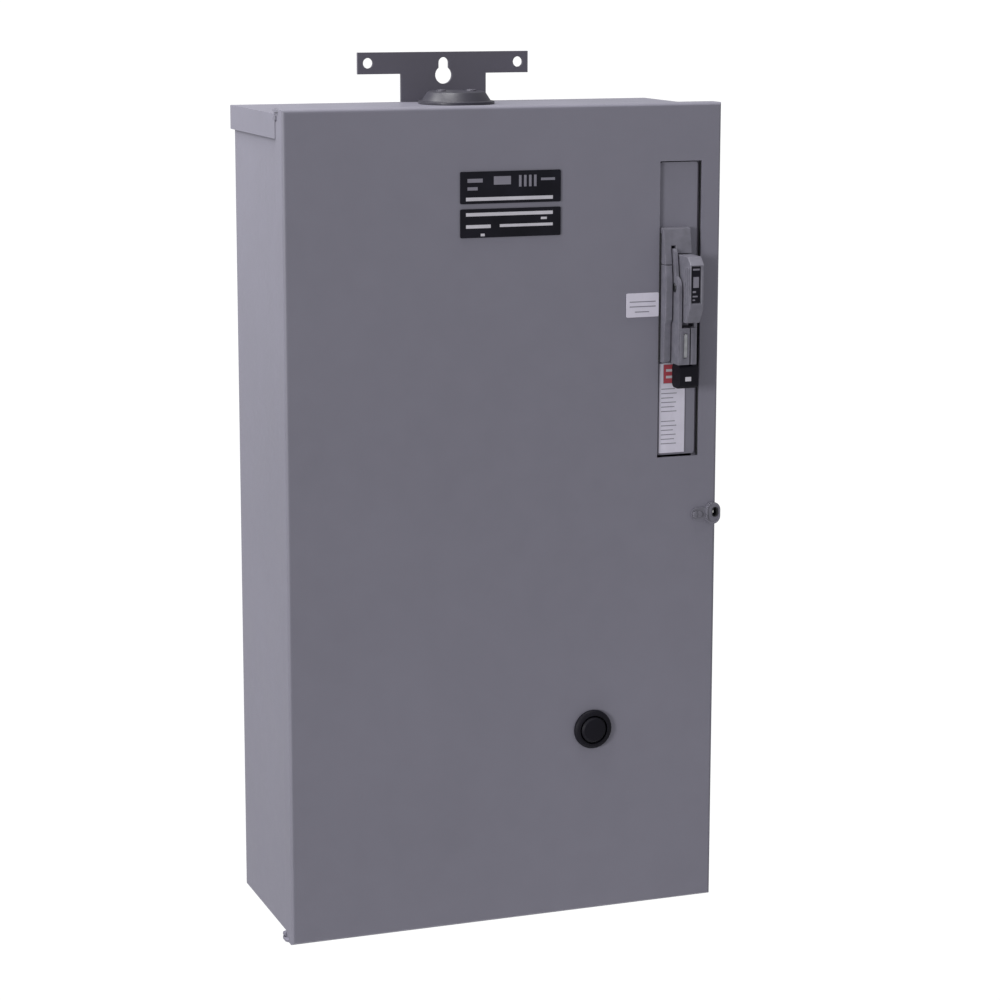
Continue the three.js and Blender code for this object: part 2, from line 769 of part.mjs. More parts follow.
function buildSwitch() {
  const [z0, z1] = [398, 545];
  const base = box(cheekLeft[0], cheekRight[1], baseFront, panelFront - gap, z0, z1);
  const cheek = ([x0, x1]) => box(x0, x1, 76, baseFront + 1, 440, 500);
  const barriers = [(poles[0] + poles[1]) / 2, (poles[1] + poles[2]) / 2].map((x) =>
    box(x - 1.5, x + 1.5, rotorY + 14, baseFront + 1, z0 + 4, z1 - 4),
  );
  const bearing = rodX(4.3, cheekLeft[0] - 1, cheekRight[1] + 1, rotorY, rotorZ, 16);
  const moulding = joined(base, cheek(cheekLeft), cheek(cheekRight), ...barriers);
  addPart('switch_base', cut(moulding, bearing), phenolic);

  // A jaw is two leaves joined beyond the blade's end; its strap runs back to the base.
  poles.forEach((x, index) => {
    const terminal = (sign) => {
      const at = (a, b) => (sign > 0 ? [rotorZ + a, rotorZ + b] : [rotorZ - b, rotorZ - a]);
      const block = box(x - 6, x + 6, rotorY - 8, rotorY + 8, ...at(28, 47));
      const throat = box(x - jawGap, x + jawGap, rotorY - 9, rotorY + 9, ...at(27, 43));
      const leftRelief = box(x - 7, x - 3.4, rotorY - 9, rotorY + 9, ...at(27, 41));
      const rightRelief = box(x + 3.4, x + 7, rotorY - 9, rotorY + 9, ...at(27, 41));
      const jaw = cut(block, throat, leftRelief, rightRelief);
      return joined(jaw, box(x - 6, x + 6, rotorY + 4, baseFront - gap, ...at(44, 47)));
    };
    const lug = cut(
      box(x - 9, x + 9, baseFront - 20, baseFront - gap, rotorZ + 45, rotorZ + 63),
      rodZ(5.5, rotorZ + 49, rotorZ + 70, x, baseFront - 10, 16),
    );
    addPart(`line_terminal_${index + 1}`, joined(terminal(1), lug), copper);
    const strap = box(x - 6, x + 6, baseFront - 2.8, baseFront - gap, 376, rotorZ - 44);
    const clip = fuseClip(x, fuseTop - 8);
    addPart(`load_terminal_${index + 1}`, joined(terminal(-1), strap, clip), copper);
  });

  addPart(
    'line_shield',
    joined(
      box(cheekLeft[0], cheekRight[1], 68, 69.6, rotorZ + 20, 548),
      box(cheekLeft[0], cheekLeft[0] + 1.6, 68, baseFront - 1, 502, 548),
      box(cheekRight[1] - 1.6, cheekRight[1], 68, baseFront - 1, 502, 548),
    ),
    clearPlastic,
  );
}

// ---- Fuses ----

const fuseY = 100;
const fuseRadius = 10.3;
const fuseTop = 388;
const fuseBottom = 312;

// A C-shaped spring clip round the fuse's end, open at the front, on a foot that reaches back.
function fuseClip(x, z) {
  const inner = fuseRadius + gap;
  const outer = inner + 1.6;
  const ring = cut(rodZ(outer, z - 6, z + 6, x, fuseY, 20), rodZ(inner, z - 7, z + 7, x, fuseY, 20));
  const open = cut(ring, box(x - 8, x + 8, fuseY - outer - 1, fuseY - 3, z - 8, z + 8));
  const foot = box(x - 5, x + 5, fuseY + inner + 0.5, baseFront - gap, z - 6, z + 6);
  return joined(open, foot);
}

function buildFuses() {
  const [z0, z1] = [292, 396];
  const block = box(cheekLeft[0], cheekRight[1], baseFront, panelFront - gap, z0, z1);
  const walls = [(poles[0] + poles[1]) / 2, (poles[1] + poles[2]) / 2].map((x) =>
    box(x - 1.5, x + 1.5, 88, baseFront + 1, z0 + 4, z1 - 4),
  );
  addPart('fuse_block', joined(block, ...walls), phenolic);
  poles.forEach((x, index) => {
    const cartridge = [
      [0, fuseBottom],
      [fuseRadius, fuseBottom],
      [fuseRadius, fuseBottom + 16],
      [fuseRadius - 0.6, fuseBottom + 16.4],
      [fuseRadius - 0.6, fuseTop - 16.4],
      [fuseRadius, fuseTop - 16],
      [fuseRadius, fuseTop],
      [0, fuseTop],
    ];
    addPart(`fuse_${index + 1}`, turned(cartridge, x, fuseY, 20), fibre);
    const lug = box(x - 8, x + 8, baseFront - 16, baseFront - gap, 294, 305);
    const strap = box(x - 5, x + 5, baseFront - 3, baseFront - gap, 300, 316);
    addPart(`fuse_clip_${index + 1}`, joined(fuseClip(x, fuseBottom + 8), strap, lug), copper);
  });
}

// ---- Starter ----

const starterLeft = 22;
const starterRight = 108;

function buildStarter() {
  const terminals = [-1, 0, 1].map((step) => (starterLeft + starterRight) / 2 + step * 26);
  const body = box(starterLeft, starterRight, 78, panelFront - gap, 180, 268);
  const shoulders = terminals.flatMap((x) => [
    box(x - 9, x + 9, 77, 92, 255, 269),
    box(x - 9, x + 9, 77, 92, 179, 193),
  ]);
  const well = box(starterLeft + 12, starterRight - 12, 77, 100, 200, 248);
  addPart('contactor_body', cut(body, ...shoulders, well), blackPlastic);
  addPart(
    'contactor_armature',
    joined(
      box(starterLeft + 13, starterRight - 13, 68, 90, 201, 247),
      box(starterLeft + 26, starterRight - 26, 64, 70, 212, 236),
    ),
    phenolic,
  );

  const relay = box(starterLeft + 2, starterRight - 2, 84, panelFront - gap, 112, 172);
  const links = terminals.map((x) => box(x - 4, x + 4, 104, 110, 171, 179.6));
  const bore = rodY(5.6, 83, 110, resetX, resetZ, 20);
  const relayNotches = terminals.map((x) => box(x - 9, x + 9, 83, 96, 111, 124));
  addPart('overload_relay', cut(joined(relay, ...links), bore, ...relayNotches), blackPlastic);
  const plunger = [
    [0, -59],
    [4, -59],
    [5, -60],
    [5, -78],
    [5.2, -78.4],
    [5.2, -98],
    [0, -98],
  ];
  addPart('reset_plunger', turnedForward([...plunger].reverse(), resetX, 0, resetZ, 20), greenPaint);
}

function buildTransformer() {
  const [x0, x1] = [-140, -66];
  const core = box(x0, x1, 84, panelFront - gap, 110, 178);
  const coil = box(x0 + 14, x1 - 14, 76, panelFront - 2, 100, 188);
  const feet = box(x0, x1, panelFront - 4, panelFront - gap, 98, 190);
  addPart('control_transformer', joined(core, coil, feet), darkPaint);

  const bar = box(-145, -65, 122, panelFront - gap, 62, 74);
  const holes = [-135, -120, -105, -90, -75].map((x) => rodZ(3, 60, 76, x, 127, 12));
  addPart('ground_bar', cut(bar, ...holes), brass);
}

buildEnclosure();
buildTopCap();
buildHubPlate();
buildBrackets();
buildPanel();
buildHingePins();
buildSealStaple();
buildDoor();
buildDoorTrim();
buildReset();
buildOperator();
buildHandle();
buildDrive();
buildSwitch();
buildFuses();
buildStarter();
buildTransformer();

export default product;
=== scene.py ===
"""A grey steel disconnect and starter enclosure: finishes, printed films, fasteners and fine
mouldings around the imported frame. Everything is in metres, in the frame's own axes: +Z up,
-Y out of the door."""

import json
import math

import bmesh
import bpy
from mathutils import Matrix, Vector


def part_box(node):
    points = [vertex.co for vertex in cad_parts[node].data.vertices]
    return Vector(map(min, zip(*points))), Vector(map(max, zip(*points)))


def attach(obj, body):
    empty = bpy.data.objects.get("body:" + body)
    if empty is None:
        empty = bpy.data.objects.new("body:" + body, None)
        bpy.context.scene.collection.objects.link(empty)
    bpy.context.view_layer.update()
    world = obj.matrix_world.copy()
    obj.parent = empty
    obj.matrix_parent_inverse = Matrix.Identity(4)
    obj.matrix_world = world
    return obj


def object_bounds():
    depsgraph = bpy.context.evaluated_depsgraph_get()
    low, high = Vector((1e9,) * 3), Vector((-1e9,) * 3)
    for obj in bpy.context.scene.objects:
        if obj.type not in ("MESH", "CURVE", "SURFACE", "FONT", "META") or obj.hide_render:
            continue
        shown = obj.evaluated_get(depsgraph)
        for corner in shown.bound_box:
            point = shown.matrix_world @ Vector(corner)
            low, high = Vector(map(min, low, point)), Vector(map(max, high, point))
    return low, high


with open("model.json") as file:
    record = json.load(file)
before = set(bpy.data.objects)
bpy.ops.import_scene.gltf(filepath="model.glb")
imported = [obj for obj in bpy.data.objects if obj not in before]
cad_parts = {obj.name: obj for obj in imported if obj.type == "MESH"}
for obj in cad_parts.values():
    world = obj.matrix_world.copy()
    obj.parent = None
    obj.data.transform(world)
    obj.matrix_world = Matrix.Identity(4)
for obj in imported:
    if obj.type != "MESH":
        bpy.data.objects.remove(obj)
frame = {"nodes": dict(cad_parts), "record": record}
cad_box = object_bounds()
nodes = frame["nodes"]

# ---------------------------------------------------------------- camera and light

CAMERA_ANGLES = (20.2638, 10.1991, 0.0824)  # yaw, pitch down and roll, in degrees
CAMERA_PLACE = (-0.7126, -2.06315, 0.07995)
CAMERA_LENS = 98.0405  # mm, for a sensor 36 mm wide
CAMERA_SHIFT = -0.05  # upward, as a share of the frame
BACKDROP = 1.05  # brightness of the white that the camera sees
ROOM_LIGHT = 0.38  # brightness of the room that lights the object
FLOOR_REACH = 0.7  # half of the floor's side
FLOOR_DROP = 1.0  # from the object's lowest point down to the floor


def make_camera():
    """The viewpoint: in front, to the left and slightly above, with a long lens."""
    yaw, pitch, roll = (math.radians(v) for v in CAMERA_ANGLES)
    forward = Vector(
        (math.sin(yaw) * math.cos(pitch), math.cos(yaw) * math.cos(pitch), -math.sin(pitch))
    )
    data = bpy.data.cameras.new("camera")
    data.sensor_width = 36
    data.lens = CAMERA_LENS
    data.shift_y = CAMERA_SHIFT
    camera = bpy.data.objects.new("camera", data)
    turn = forward.to_track_quat("-Z", "Y").to_matrix().to_4x4()
    camera.matrix_world = (
        Matrix.Translation(CAMERA_PLACE) @ turn @ Matrix.Rotation(roll, 4, "Z")
    )
    bpy.context.scene.collection.objects.link(camera)
    bpy.context.scene.camera = camera


def lamp(name, kind, power, direction):
    """A light that shines from the given direction."""
    data = bpy.data.lights.new(name, kind)
    data.energy = power
    light = bpy.data.objects.new(name, data)
    light.rotation_mode = "QUATERNION"
    light.rotation_quaternion = (-Vector(direction)).to_track_quat("-Z", "Y")
    bpy.context.scene.collection.objects.link(light)
    return light


def sun(name, direction, angle, power):
    """A broad, even light; the angle is its apparent size, in degrees."""
    lamp(name, "SUN", power, direction).data.angle = math.radians(angle)


def soft_box(name, corner, offset, size, power):
    """A square lamp at an offset from a corner of the object, turned towards that corner."""
    light = lamp(name, "AREA", power, offset)
    light.data.size = size
    light.location = Vector(corner) + Vector(offset)


def make_studio():
    """A white room with lights on the left, above it and overhead, over a pale floor."""
    sun("key", (-0.85, -0.51, 0.12), 16, 1.25)
    top_left = (cad_box[0].x, cad_box[1].y, cad_box[1].z)
    soft_box("side", top_left, (-0.5, 0.15, 0.45), 0.4, 5.0)
    sun("top", (-0.2, 0.03, 0.97), 30, 2.6)
    world = bpy.data.worlds.new("studio")
    bpy.context.scene.world = world
    world.use_nodes = True
    tree = world.node_tree
    background = tree.nodes["Background"]
    seen = tree.nodes.new("ShaderNodeBackground")
    seen.inputs["Color"].default_value = (1, 1, 1, 1)
    seen.inputs["Strength"].default_value = BACKDROP
    background.inputs["Color"].default_value = (0.97, 0.97, 1, 1)
    background.inputs["Strength"].default_value = ROOM_LIGHT
    path = tree.nodes.new("ShaderNodeLightPath")
    mix = tree.nodes.new("ShaderNodeMixShader")
    tree.links.new(path.outputs["Is Camera Ray"], mix.inputs[0])
    tree.links.new(background.outputs[0], mix.inputs[1])
    tree.links.new(seen.outputs[0], mix.inputs[2])
    tree.links.new(mix.outputs[0], tree.nodes["World Output"].inputs["Surface"])

    mesh = bpy.data.meshes.new("floor")
    level = cad_box[0].z - FLOOR_DROP
    signs = [(-1, -1), (1, -1), (1, 1), (-1, 1)]
    corners = [(x * FLOOR_REACH, y * FLOOR_REACH, level) for x, y in signs]
    mesh.from_pydata(corners, [], [(0, 1, 2, 3)])
    floor = bpy.data.objects.new("floor", mesh)
    bpy.context.scene.collection.objects.link(floor)
    paint = bpy.data.materials.new("floor")
    paint.use_nodes = True
    shader = paint.node_tree.nodes["Principled BSDF"]
    shader.inputs["Base Color"].default_value = (0.94, 0.94, 0.95, 1)
    shader.inputs["Roughness"].default_value = 0.9
    mesh.materials.append(paint)
    bpy.context.scene.view_settings.view_transform = "Standard"


# ---------------------------------------------------------------- materials


class Graph:
    """A material's node tree, with short calls for the nodes that the finishes share."""

    def __init__(self, name):
        self.material = bpy.data.materials.new(name)
        self.material.use_nodes = True
        self.tree = self.material.node_tree
        self.shader = self.tree.nodes["Principled BSDF"]
        self.place = self.add("ShaderNodeTexCoord").outputs["Object"]

    def add(self, kind, **settings):
        node = self.tree.nodes.new(kind)
        for key, value in settings.items():
            setattr(node, key, value)
        return node

    def link(self, source, target):
        self.tree.links.new(source, target)

    def noise(self, scale, detail=4, roughness=0.55, stretch=None, distortion=0.0):
        node = self.add("ShaderNodeTexNoise")
        node.inputs["Scale"].default_value = scale
        node.inputs["Detail"].default_value = detail
        node.inputs["Roughness"].default_value = roughness
        node.inputs["Distortion"].default_value = distortion
        self.link(self.mapped(stretch), node.inputs["Vector"])
        return node.outputs["Fac"]

    def cells(self, scale):
        node = self.add("ShaderNodeTexVoronoi")
        node.inputs["Scale"].default_value = scale
        self.link(self.place, node.inputs["Vector"])
        return node.outputs["Distance"]

    def mapped(self, stretch):
        if stretch is None:
            return self.place
        node = self.add("ShaderNodeMapping")
        node.inputs["Scale"].default_value = stretch
        self.link(self.place, node.inputs["Vector"])
        return node.outputs["Vector"]

    def span(self, value, low, high, from_low=0.3, from_high=0.7):
        node = self.add("ShaderNodeMapRange", clamp=True)
        node.inputs["From Min"].default_value = from_low
        node.inputs["From Max"].default_value = from_high
        node.inputs["To Min"].default_value = low
        node.inputs["To Max"].default_value = high
        self.link(value, node.inputs["Value"])
        return node.outputs["Result"]

    def sum(self, first, second, operation="ADD"):
        node = self.add("ShaderNodeMath", operation=operation)
        for socket, value in zip(node.inputs, (first, second)):
            if isinstance(value, (int, float)):
                socket.default_value = value
            else:
                self.link(value, socket)
        return node.outputs[0]

    def blend(self, amount, first, second):
        node = self.add("ShaderNodeMix", data_type="RGBA")
        self.link(amount, node.inputs[0])
        for socket, value in ((node.inputs[6], first), (node.inputs[7], second)):
            if isinstance(value, tuple):
                socket.default_value = (*value, 1)
            else:
                self.link(value, socket)
        return node.outputs[2]

    def bump(self, height, distance, strength=1.0, under=None):
        node = self.add("ShaderNodeBump")
        node.inputs["Strength"].default_value = strength
        node.inputs["Distance"].default_value = distance
        self.link(height, node.inputs["Height"])
        if under is not None:
            self.link(under, node.inputs["Normal"])
        return node.outputs["Normal"]

    def edges(self, radius):
        """1 on a sharp edge, 0 on a flat face: how far a rounded normal leans from the true one."""
        rounded = self.add("ShaderNodeBevel", samples=4)
        rounded.inputs["Radius"].default_value = radius
        true = self.add("ShaderNodeNewGeometry").outputs["Normal"]
        dot = self.add("ShaderNodeVectorMath", operation="DOT_PRODUCT")
        self.link(rounded.outputs["Normal"], dot.inputs[0])
        self.link(true, dot.inputs[1])
        return self.span(dot.outputs["Value"], 1, 0, 0.75, 0.97)

    def finish(self, color, roughness, normal, metallic=0.0, **fixed):
        """Links the shader's three textured inputs and sets the fixed ones."""
        self.link(color, self.shader.inputs["Base Color"])
        self.link(roughness, self.shader.inputs["Roughness"])
        self.link(normal, self.shader.inputs["Normal"])
        self.shader.inputs["Metallic"].default_value = metallic
        for name, value in fixed.items():
            self.shader.inputs[name.replace("_", " ")].default_value = value
        return self.material


def shade(color, factor):
    return tuple(c * factor for c in color)


def enamel(name, color, wear=0.5):
    """Baked enamel on sheet steel: orange peel, drifting tone, dust specks and lighter edges,
    partly rubbed wear and partly a painted highlight.
    """
    g = Graph(name)
    drift = g.span(g.noise(3.2, 3), 0, 1)
    mottle = g.span(g.noise(55, 4), 0, 1, 0.35, 0.65)
    tone = g.blend(drift, shade(color, 0.955), shade(color, 1.045))
    tone = g.blend(g.sum(mottle, 0.16, "MULTIPLY"), tone, shade(color, 1.16))
    specks = g.span(g.cells(420), 1, 0, 0.02, 0.11)
    tone = g.blend(g.sum(specks, 0.16, "MULTIPLY"), tone, shade(color, 0.55))
    broken = g.span(g.noise(240, 5), 0, wear, 0.42, 0.62)
    # Edges lighter in colour: partly rubbed wear, partly a painted highlight along them.
    rubbed_edge_and_highlight = g.sum(g.edges(0.0011), broken, "MULTIPLY")
    tone = g.blend(rubbed_edge_and_highlight, tone, shade(color, 1.75))
    rough = g.sum(g.span(g.noise(28, 4), 0.36, 0.5), g.sum(mottle, 0.06, "MULTIPLY"))
    rough = g.sum(rough, g.sum(rubbed_edge_and_highlight, 0.2, "MULTIPLY"), "SUBTRACT")
    waves = g.bump(g.noise(9, 2), 0.0006, 0.35)
    orange = g.bump(g.noise(620, 2, 0.4), 0.00006, 0.55, waves)
    return g.finish(tone, rough, orange, Coat_Weight=0.12, Coat_Roughness=0.3)


def casting(name, color):
    """Painted die casting: pebbled skin, grime in random patches, and lighter corners, partly worn
    and partly a painted highlight.
    """
    g = Graph(name)
    pebbles = g.noise(1500, 3)
    grime = g.span(g.noise(130, 5), 0, 1)
    tone = g.blend(grime, shade(color, 0.82), shade(color, 1.1))
    broken = g.span(g.noise(420, 5), 0.1, 0.95, 0.36, 0.62)
    # Corners lighter in colour: partly worn paint, partly a painted highlight along the edges.
    rubbed_edge_and_highlight = g.sum(g.edges(0.0008), broken, "MULTIPLY")
    tone = g.blend(rubbed_edge_and_highlight, tone, shade(color, 1.6))
    rough = g.sum(g.span(grime, 0.56, 0.4, 0, 1), g.sum(rubbed_edge_and_highlight, 0.14, "MULTIPLY"), "SUBTRACT")
    skin = g.bump(pebbles, 0.00012, 0.5, g.bump(g.noise(160, 3), 0.0003, 0.25))
    return g.finish(tone, rough, skin)


def plated(name, color, grain=(1, 1, 1), rough=(0.26, 0.44)):
    """Plated or plain steel: faint spangle, rolling grain along the sheet, duller patches."""
    g = Graph(name)
    spangle = g.span(g.cells(190), 0, 1, 0.0, 0.55)
    patches = g.span(g.noise(30, 5), 0, 1)
    tone = g.blend(spangle, shade(color, 0.86), shade(color, 1.08))
    tone = g.blend(g.sum(patches, 0.35, "MULTIPLY"), tone, shade(color, 0.72))
    lines = g.noise(700, 3, 0.6, grain)
    roughness = g.sum(g.span(patches, rough[0], rough[1], 0, 1), g.span(lines, -0.04, 0.06))
    return g.finish(tone, roughness, g.bump(lines, 0.00003, 0.5), metallic=1.0)


def bare_metal(name, color, dull):
    """Copper or brass: bright where handled, browned in patches, with a drawn grain."""
    g = Graph(name)
    stain = g.span(g.noise(85, 6, 0.6), 0, 1, 0.38, 0.66)
    tone = g.blend(stain, color, dull)
    lines = g.noise(900, 3, 0.6, (1, 1, 0.12))
    roughness = g.sum(g.span(stain, 0.22, 0.5, 0, 1), g.span(lines, -0.04, 0.05))
    return g.finish(tone, roughness, g.bump(lines, 0.00004, 0.5), metallic=1.0)


def moulding(name, color, texture=1400, rough=(0.34, 0.5), mottle=0.12, sheen=0.5):
    """Moulded plastic: spark-eroded texture, a little flow mottle and edges painted lighter as a
    highlight, broken up in patches.
    """
    g = Graph(name)
    flow = g.span(g.noise(38, 4, 0.6, None, 1.2), 0, 1)
    tone = g.blend(flow, shade(color, 1 - mottle), shade(color, 1 + mottle))
    # Painted highlight: the edges lightened in colour, broken up in patches.
    edge_highlight = g.sum(g.edges(0.0007), g.span(g.noise(300, 4), 0.1, 0.7), "MULTIPLY")
    tone = g.blend(g.sum(edge_highlight, 0.5, "MULTIPLY"), tone, tuple(c * 2 + 0.01 for c in color))
    grain = g.noise(texture, 2, 0.5)
    roughness = g.sum(g.span(flow, rough[0], rough[1], 0, 1), g.span(grain, -0.05, 0.05))
    return g.finish(tone, roughness, g.bump(grain, 0.00006, 0.7), Specular_IOR_Level=sheen)


def foam(name, color):
    """Closed-cell foam strip: small pores, painted darker as shade in their hollows, with lighter
    cell walls between them.
    """
    g = Graph(name)
    pores = g.span(g.cells(900), 0, 1, 0.05, 0.6)
    # Painted shade: the pores darker, as shade in their hollows.
    tone = g.blend(pores, shade(color, 0.4), shade(color, 1.5))
    return g.finish(tone, g.span(g.noise(60, 3), 0.8, 0.95), g.bump(pores, 0.0004, 0.6))


def film(name, color, gloss=(0.3, 0.45), stain=0.06, sheen=0.5):
    """Printed polyester film: faint fibre, slight yellowing and fine scuffs."""
    g = Graph(name)
    cloud = g.span(g.noise(48, 4), 0, 1)
    tone = g.blend(cloud, shade(color, 1 - stain), shade(color, 1 + stain))
    scuffs = g.span(g.noise(260, 5, 0.7, (1, 1, 0.2)), 0, 1, 0.56, 0.72)
    tone = g.blend(g.sum(scuffs, 0.18, "MULTIPLY"), tone, shade(color, 0.72))
    roughness = g.sum(g.span(cloud, gloss[0], gloss[1], 0, 1), g.sum(scuffs, 0.15, "MULTIPLY"))
    fibre = g.bump(g.noise(1100, 2), 0.00002, 0.5)
    return g.finish(tone, roughness, fibre, Specular_IOR_Level=sheen)


def clear_sheet(name):
    """Clear plastic: faint haze and fine scratches, more solid where it is scuffed."""
    g = Graph(name)
    scratches = g.span(g.noise(220, 6, 0.7, (1, 1, 0.15)), 0, 1, 0.5, 0.7)
    haze = g.span(g.noise(20, 3), 0.16, 0.26)
    g.link(g.sum(haze, g.sum(scratches, 0.1, "MULTIPLY")), g.shader.inputs["Alpha"])
    tone = g.blend(scratches, (0.74, 0.79, 0.82), (0.92, 0.94, 0.95))
    return g.finish(tone, g.span(scratches, 0.08, 0.35, 0, 1), g.bump(scratches, 0.00002, 0.4))


def wound(name, color):
    """Taped winding: turns of enamelled wire showing through tape."""
    g = Graph(name)
    turns = g.noise(520, 2, 0.5, (0.06, 0.06, 1))
    tone = g.blend(g.span(turns, 0, 1), shade(color, 0.6), shade(color, 1.4))
    return g.finish(tone, g.span(g.noise(90, 4), 0.4, 0.6), g.bump(turns, 0.0004, 0.8))


# Each finish: its kind, its colour and what else that kind is told.
FINISHES = {
    "enamel": (enamel, (0.232, 0.225, 0.276)),
    "dark_enamel": (enamel, (0.117, 0.111, 0.138), 0.3),
    "operator_casting": (casting, (0.2, 0.195, 0.235)),
    "zinc_steel": (plated, (0.62, 0.63, 0.65), (0.05, 1, 1)),
    "copper": (bare_metal, (0.72, 0.34, 0.18), (0.36, 0.17, 0.1)),
    "brass_bar": (bare_metal, (0.75, 0.56, 0.24), (0.46, 0.33, 0.15)),
    "black_plastic": (moulding, (0.0062, 0.0056, 0.0105), 1400, (0.46, 0.6), 0.12, 0.22),
    "moulding": (moulding, (0.035, 0.026, 0.024), 900, (0.42, 0.6), 0.25),
    "clear_sheet": (clear_sheet,),
    "gasket_rubber": (foam, (0.02, 0.02, 0.022)),
    "pale_label": (film, (0.75, 0.72, 0.83), (0.4, 0.55)),
    "red_label": (film, (0.5, 0.075, 0.1), (0.4, 0.55)),
    "black_label": (film, (0.0095, 0.009, 0.015), (0.45, 0.6), 0.3, 0.2),
    "fuse_tube": (moulding, (0.4, 0.33, 0.24), 700, (0.5, 0.7), 0.1),
    "green_plastic": (moulding, (0.045, 0.2, 0.08)),
    "hub_enamel": (enamel, (0.041, 0.039, 0.053), 0.2),
    # Dark plated steel for the pivot pin: painted shade, standing for the shadow round the pivot.
    "oiled_steel": (plated, (0.14, 0.14, 0.15), (1, 1, 1), (0.3, 0.5)),
    "nickel": (plated, (0.7, 0.69, 0.66), (1, 1, 0.2), (0.18, 0.34)),
    "pale_print": (film, (0.66, 0.64, 0.7), (0.4, 0.55)),
    "grey_print": (film, (0.25, 0.24, 0.29), (0.35, 0.5)),
    "yellow_print": (film, (0.36, 0.34, 0.24), (0.35, 0.5)),
    "winding": (wound, (0.16, 0.1, 0.05)),
    "laminations": (plated, (0.33, 0.33, 0.35), (1, 1, 6), (0.4, 0.6)),
}
finishes = {name: kind(name, *told) for name, (kind, *told) in FINISHES.items()}

# ---------------------------------------------------------------- mesh helpers

WELD_REACH = 2e-6
SHARP_EDGE = 35  # degrees between faces, from which an edge is rounded
BEVEL_SEGMENTS = 2
FLAT_FACE_WEIGHT = 90


def soften(obj, width):
    """Rounds an object's sharp edges and shades it smoothly between them."""
    weld = obj.modifiers.new("weld", "WELD")
    weld.merge_threshold = WELD_REACH
    bevel = obj.modifiers.new("bevel", "BEVEL")
    bevel.width = width
    bevel.segments = BEVEL_SEGMENTS
    bevel.limit_method = "ANGLE"
    bevel.angle_limit = math.radians(SHARP_EDGE)
    bevel.harden_normals = False
    bevel.use_clamp_overlap = True
    for polygon in obj.data.polygons:
        polygon.use_smooth = True
    normals = obj.modifiers.new("normals", "WEIGHTED_NORMAL")
    normals.weight = FLAT_FACE_WEIGHT
    normals.keep_sharp = True


def made(name, build, finish, body, bevel=0.0):
    """A new piece from a bmesh function, with its finish, riding on a body."""
    work = bmesh.new()
    build(work)
    bmesh.ops.remove_doubles(work, verts=work.verts, dist=1e-7)
    bmesh.ops.recalc_face_normals(work, faces=work.faces)
    mesh = bpy.data.meshes.new(name)
    work.to_mesh(mesh)
    work.free()
    obj = bpy.data.objects.new(name, mesh)
    bpy.context.scene.collection.objects.link(obj)
    mesh.materials.append(finishes[finish])
    if bevel:
        soften(obj, bevel)
    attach(obj, body)


def block(work, low, high):
    """An axis-aligned block between two corners."""
    low, high = Vector(low), Vector(high)
    place = Matrix.Translation((low + high) / 2) @ Matrix.Diagonal((*(high - low), 1))
    bmesh.ops.create_cube(work, size=1, matrix=place)


# Turns a height along +Z into one along the named axis; for y it runs out of the door.
AXES = {"y": Matrix.Rotation(math.radians(90), 4, "X"), "z": Matrix.Identity(4)}


def spun(work, profile, centre, axis="y", segments=48):
    """A turned solid from (radius, height) pairs. Heights run out of the door for axis y, and
    up for z."""
    rings = []
    for radius, height in profile:
        if radius == 0:
            rings.append([work.verts.new(AXES[axis] @ Vector((0, 0, height)) + Vector(centre))])
            continue
        ring = []
        for step in range(segments):
            turn = 2 * math.pi * step / segments
            point = Vector((radius * math.cos(turn), radius * math.sin(turn), height))
            ring.append(work.verts.new(AXES[axis] @ point + Vector(centre)))
        rings.append(ring)
    for lower, upper in zip(rings, rings[1:]):
        for step in range(segments):
            after = (step + 1) % segments
            corners = [lower[step % len(lower)], lower[after % len(lower)]]
            corners += [upper[after % len(upper)], upper[step % len(upper)]]
            unique = list(dict.fromkeys(corners))
            if len(unique) > 2:
                work.faces.new(unique)


def slotted_head(work, centre, radius, height, axis, turn):
    """A screw head: a round base and two raised halves with the driver slot between them."""
    segments = 10
    seat, shoulder = height * 0.45, height * 0.8
    spun(work, [(0, 0), (radius, 0), (radius, seat), (0, seat)], centre, axis, segments * 2)
    place = Matrix.Translation(Vector(centre)) @ AXES[axis] @ Matrix.Rotation(turn, 4, "Z")
    half_slot = radius * 0.14
    start = math.asin(half_slot / radius)
    for side in (1, -1):
        rings = []
        for reach, level in ((0.99, seat * 0.9), (0.99, shoulder), (0.78, height)):
            ring = []
            for step in range(segments + 1):
                angle = start + (math.pi - 2 * start) * step / segments
                x = radius * reach * math.cos(angle)
                y = max(radius * reach * math.sin(angle), half_slot)
                ring.append(work.verts.new(place @ Vector((side * x, side * y, level))))
            rings.append(ring)
        bridge(work, rings)
        work.faces.new(rings[0])
        work.faces.new(rings[-1])


def bridge(work, rings):
    """Faces between closed rings that have as many points as each other."""
    for lower, upper in zip(rings, rings[1:]):
        for step in range(len(lower)):
            after = (step + 1) % len(lower)
            work.faces.new((lower[step], lower[after], upper[after], upper[step]))


def oval_rim(work, profile, centre, half):
    """A rim around an upright oval hole: the (radius, height) corners go round its section."""
    segments = 40
    rings = []
    for radius, height in profile:
        ring = []
        for step in range(segments):
            turn = 2 * math.pi * (step + 0.5) / segments
            rise = radius * math.sin(turn) + math.copysign(half, math.sin(turn))
            offset = Vector((radius * math.cos(turn), -height, rise))
            ring.append(work.verts.new(Vector(centre) + offset))
        rings.append(ring)
    bridge(work, rings + rings[:1])


def middle_of(node):
    low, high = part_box(node)
    return (low + high) / 2


# ---------------------------------------------------------------- carried-over CAD nodes

